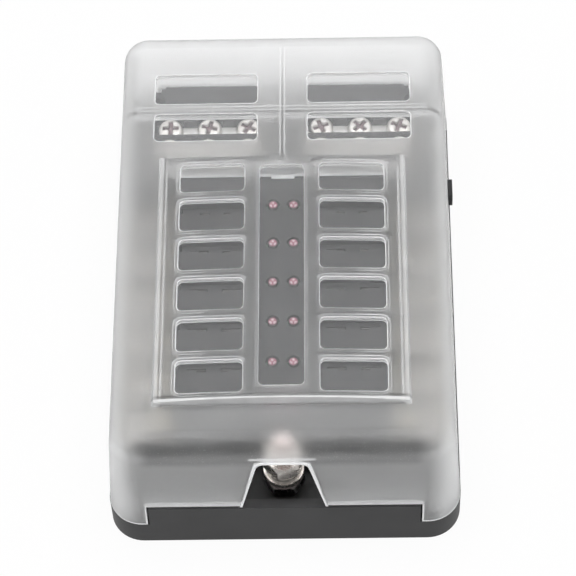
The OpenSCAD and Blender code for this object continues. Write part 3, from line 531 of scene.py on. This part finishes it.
def screw_rows_tree():
    """Instances of one screw along a line and, where asked, along its mirror image in X."""
    tree = bpy.data.node_groups.new("screw_rows", "GeometryNodeTree")
    for name, kind in (("Screw", "NodeSocketObject"), ("Material", "NodeSocketMaterial"),
                       ("Count", "NodeSocketInt"), ("Start", "NodeSocketVector"),
                       ("Step", "NodeSocketVector"), ("Turn", "NodeSocketFloat"),
                       ("Turn Step", "NodeSocketFloat"), ("Mirrored Count", "NodeSocketInt"),
                       ("Mirrored Turn", "NodeSocketFloat"),
                       ("Mirrored Turn Step", "NodeSocketFloat")):
        tree.interface.new_socket(name, in_out="INPUT", socket_type=kind)
    tree.interface.new_socket("Geometry", in_out="OUTPUT", socket_type="NodeSocketGeometry")
    add, link = tree.nodes.new, tree.links.new
    given = add("NodeGroupInput").outputs
    screw = add("GeometryNodeObjectInfo")
    link(given["Screw"], screw.inputs["Object"])
    index = add("GeometryNodeInputIndex").outputs[0]
    joined = add("GeometryNodeJoinGeometry")

    def line(count, turn, turn_step, side):
        ends = []
        for key in ("Start", "Step"):
            flip = add("ShaderNodeVectorMath")
            flip.operation = "MULTIPLY"
            link(given[key], flip.inputs[0])
            flip.inputs[1].default_value = (side, 1, 1)
            ends.append(flip.outputs[0])
        points = add("GeometryNodeMeshLine")
        link(given[count], points.inputs["Count"])
        link(ends[0], points.inputs["Start Location"])
        link(ends[1], points.inputs["Offset"])
        spin = add("ShaderNodeMath")
        spin.operation = "MULTIPLY_ADD"
        link(index, spin.inputs[0])
        link(given[turn_step], spin.inputs[1])
        link(given[turn], spin.inputs[2])
        angle = add("ShaderNodeMath")
        angle.operation = "RADIANS"
        link(spin.outputs[0], angle.inputs[0])
        euler = add("ShaderNodeCombineXYZ")
        link(angle.outputs[0], euler.inputs["Z"])
        copies = add("GeometryNodeInstanceOnPoints")
        link(points.outputs["Mesh"], copies.inputs["Points"])
        link(screw.outputs["Geometry"], copies.inputs["Instance"])
        link(euler.outputs[0], copies.inputs["Rotation"])
        link(copies.outputs[0], joined.inputs[0])

    line("Count", "Turn", "Turn Step", 1)
    line("Mirrored Count", "Mirrored Turn", "Mirrored Turn Step", -1)
    real = add("GeometryNodeRealizeInstances")
    paint = add("GeometryNodeSetMaterial")
    link(joined.outputs[0], real.inputs[0])
    link(real.outputs[0], paint.inputs["Geometry"])
    link(given["Material"], paint.inputs["Material"])
    link(paint.outputs[0], add("NodeGroupOutput").inputs[0])
    return tree


def stand_in_for(name, mesh, node_name):
    """A piece of its own that takes the place of one CAD node of the block."""
    piece = bpy.data.objects.new(name, mesh)
    bpy.context.scene.collection.objects.link(piece)
    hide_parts(node_name)
    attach(piece, "block")


# Starts and steps in millimetres, turns of the cross recesses in degrees
SCREW_ROWS = {
    "output_screws_left": {
        "Count": ROWS, "Start": (-OUTPUT_X, POCKET_Y, LANDING_Z), "Step": (0, -PITCH, 0),
        "Turn": 0.0, "Turn Step": 17.0},
    "output_screws_right": {
        "Count": ROWS, "Start": (OUTPUT_X, POCKET_Y, LANDING_Z), "Step": (0, -PITCH, 0),
        "Turn": 0.0, "Turn Step": 17.0},
    "negative_screws_lower": {
        "Count": 3, "Start": (NEG_X, NEG_Y_LOW, NEG_Z_LOW), "Step": (NEG_PITCH, 0, 0),
        "Turn": 20.0, "Turn Step": 25.0,
        "Mirrored Count": 3, "Mirrored Turn": 60.0, "Mirrored Turn Step": 15.0},
    "negative_screws_upper": {
        "Count": 3, "Start": (NEG_X, NEG_Y_HIGH, NEG_Z_HIGH), "Step": (NEG_PITCH, 0, 0),
        "Turn": 55.0, "Turn Step": 25.0,
        "Mirrored Count": 3, "Mirrored Turn": 95.0, "Mirrored Turn Step": 15.0},
}
ONE_SIDE = {"Mirrored Count": 0, "Mirrored Turn": 0.0, "Mirrored Turn Step": 0.0}

screw = bpy.data.objects.new("screw_master", screw_mesh())
bpy.context.scene.collection.objects.link(screw)
rows_tree = screw_rows_tree()
row_inputs = {item.name: item.identifier for item in rows_tree.interface.items_tree
              if item.in_out == "INPUT"}
for node_name, layout in SCREW_ROWS.items():
    host = bpy.data.objects.new("rows_host", bpy.data.meshes.new("rows_host"))
    bpy.context.scene.collection.objects.link(host)
    rows = host.modifiers.new("rows", "NODES")
    rows.node_group = rows_tree
    rows[row_inputs["Screw"]] = screw
    rows[row_inputs["Material"]] = MATS["screw_plate"]
    for key, value in (ONE_SIDE | layout).items():
        in_metres = isinstance(value, tuple)
        rows[row_inputs[key]] = tuple(part * MM for part in value) if in_metres else value
    bpy.context.view_layer.update()
    depsgraph = bpy.context.evaluated_depsgraph_get()
    plain = bpy.data.meshes.new_from_object(host.evaluated_get(depsgraph),
                                            preserve_all_data_layers=True, depsgraph=depsgraph)
    plain.name = node_name + "_cut"
    host.modifiers.remove(rows)
    bpy.data.objects.remove(host)
    stand_in_for(node_name + "_cut", plain, node_name)
bpy.data.objects.remove(screw)


def stud_mesh():
    """Hex-headed stud whose free end carries a real helical thread."""
    spokes, thread_rise = 72, 0.08

    def hexagon(a):
        to_flat = (a + math.pi / 6) % (math.pi / 3) - math.pi / 6
        return STUD_HEX_R * math.cos(math.pi / 6) / math.cos(to_flat)

    def thread(z):
        past_chamfer = max(0.0, (z - (STUD_TOP - STUD_CHAMFER)) / STUD_CHAMFER)

        def radius(a):
            turn = (z / THREAD_PITCH - a / (2 * math.pi)) % 1.0
            crest = min(1.0, max(0.0, (abs(turn - 0.5) * 2 - 0.12) / 0.76))
            return min(STUD_R - (STUD_R - THREAD_ROOT_R) * (1 - crest),
                       STUD_R - STUD_CHAMFER * past_chamfer)
        return radius

    rings = [ring_at(lambda a: hexagon(a) * 0.9, STUD_HEX_TOP - STUD_HEX_H, spokes),
             ring_at(hexagon, STUD_HEX_TOP - STUD_HEX_H + 0.5, spokes),
             ring_at(hexagon, STUD_HEX_TOP, spokes),
             ring_at(THREAD_MEAN_R, STUD_HEX_TOP, spokes),
             ring_at(THREAD_MEAN_R, THREAD_FROM, spokes)]
    z = THREAD_FROM
    while z < STUD_TOP:
        rings.append(ring_at(thread(z), z, spokes))
        z += thread_rise
    rings.append(ring_at(STUD_TIP_R, STUD_TOP, spokes))
    return closed_mesh("threaded_stud",
                       [[(x, y + STUD_Y, h) for x, y, h in ring] for ring in rings])


stud = stud_mesh()
stud.materials.append(MATS["stud_steel"])
stand_in_for("threaded_stud", stud, "supply_stud")


# Floor and light

FLOOR_Z = -0.1 * MM         # clear of the underside, so that the two share no plane
WORLD_LIGHT = 0.5


def stage_material():
    """Pale floor that looks white to the camera and can be seen through from below."""
    m = Mat("pale_floor")
    path = m.node("ShaderNodeLightPath")
    seen = Val(m, path.outputs["Is Camera Ray"]).max(Val(m, path.outputs["Is Glossy Ray"]))
    seen = seen.max(Val(m, path.outputs["Is Transmission Ray"]))
    paint = m.principled(Base_Color=(0.86, 0.86, 0.86, 1), Roughness=0.9)
    glow = m.node("ShaderNodeEmission", {}, {"Color": (0.985, 0.985, 0.985, 1), "Strength": 1.0})
    underneath = Val(m, m.node("ShaderNodeNewGeometry").outputs["Backfacing"])
    return m.surface(m.blend(m.blend(paint, glow, seen * 0.96),
                             m.node("ShaderNodeBsdfTransparent"), underneath))


bpy.ops.mesh.primitive_plane_add(size=6.0, location=(0, 0, FLOOR_Z))
floor = bpy.context.object
floor.name = "floor"
floor.data.materials.append(stage_material())


def studio_world():
    """White to camera and transmission rays, and WORLD_LIGHT strong as light on the part."""
    world = bpy.data.worlds.new("studio")
    world.use_nodes = True
    world.node_tree.nodes.clear()
    add, link = world.node_tree.nodes.new, world.node_tree.links.new
    path = add("ShaderNodeLightPath")
    seen = add("ShaderNodeMath")
    seen.operation = "MAXIMUM"
    level = add("ShaderNodeMapRange")
    level.inputs["To Min"].default_value = WORLD_LIGHT
    level.inputs["To Max"].default_value = 1.0
    background = add("ShaderNodeBackground")
    background.inputs["Color"].default_value = (1, 1, 1, 1)
    link(path.outputs["Is Camera Ray"], seen.inputs[0])
    link(path.outputs["Is Transmission Ray"], seen.inputs[1])
    link(seen.outputs[0], level.inputs["Value"])
    link(level.outputs["Result"], background.inputs["Strength"])
    link(background.outputs[0], add("ShaderNodeOutputWorld").inputs[0])
    return world


def soft_lamp(name, place, size, power, look=(0, 0, 0.03)):
    data = bpy.data.lights.new(name, "AREA")
    data.shape = "RECTANGLE"
    data.size, data.size_y = size
    data.energy = power
    lamp = bpy.data.objects.new(name, data)
    lamp.location = place
    lamp.rotation_euler = (Vector(look) - Vector(place)).to_track_quat("-Z", "Y").to_euler()
    bpy.context.scene.collection.objects.link(lamp)


bpy.context.scene.world = studio_world()
soft_lamp("top_softbox", (0.0, 0.05, 0.8), (0.6, 0.5), 6.0)
soft_lamp("left_softbox", (-0.65, -0.15, 0.45), (0.4, 0.6), 1.6)
soft_lamp("right_softbox", (0.65, -0.1, 0.4), (0.4, 0.6), 1.3)


# The photograph's eye: far off, 57 degrees above the horizon, turned slightly

EYE_ELEVATION, EYE_YAW, EYE_ROLL = math.radians(57), math.radians(2.35), math.radians(-2.726)
EYE_AIM = Vector((0.934, 0.389, 15.625)) * MM
EYE_DISTANCE = 794.35 * MM
EYE_FOCAL_PX = 2680.135
SENSOR_MM = 36.0

away = Vector((math.sin(EYE_YAW) * math.cos(EYE_ELEVATION),
               -math.cos(EYE_YAW) * math.cos(EYE_ELEVATION), math.sin(EYE_ELEVATION)))
level_right = Vector((0, 0, 1)).cross(away).normalized()
level_up = away.cross(level_right)
right = math.cos(EYE_ROLL) * level_right + math.sin(EYE_ROLL) * level_up
up = -math.sin(EYE_ROLL) * level_right + math.cos(EYE_ROLL) * level_up
place = EYE_AIM + away * EYE_DISTANCE
lens = bpy.data.cameras.new("photo_camera")
lens.sensor_width = SENSOR_MM
lens.lens = EYE_FOCAL_PX / PHOTO_PX * SENSOR_MM
camera = bpy.data.objects.new("photo_camera", lens)
camera.matrix_world = Matrix((
    (right.x, up.x, away.x, place.x),
    (right.y, up.y, away.y, place.y),
    (right.z, up.z, away.z, place.z),
    (0, 0, 0, 1)))
bpy.context.scene.collection.objects.link(camera)
bpy.context.scene.camera = camera
bpy.context.scene.view_settings.view_transform = "Standard"
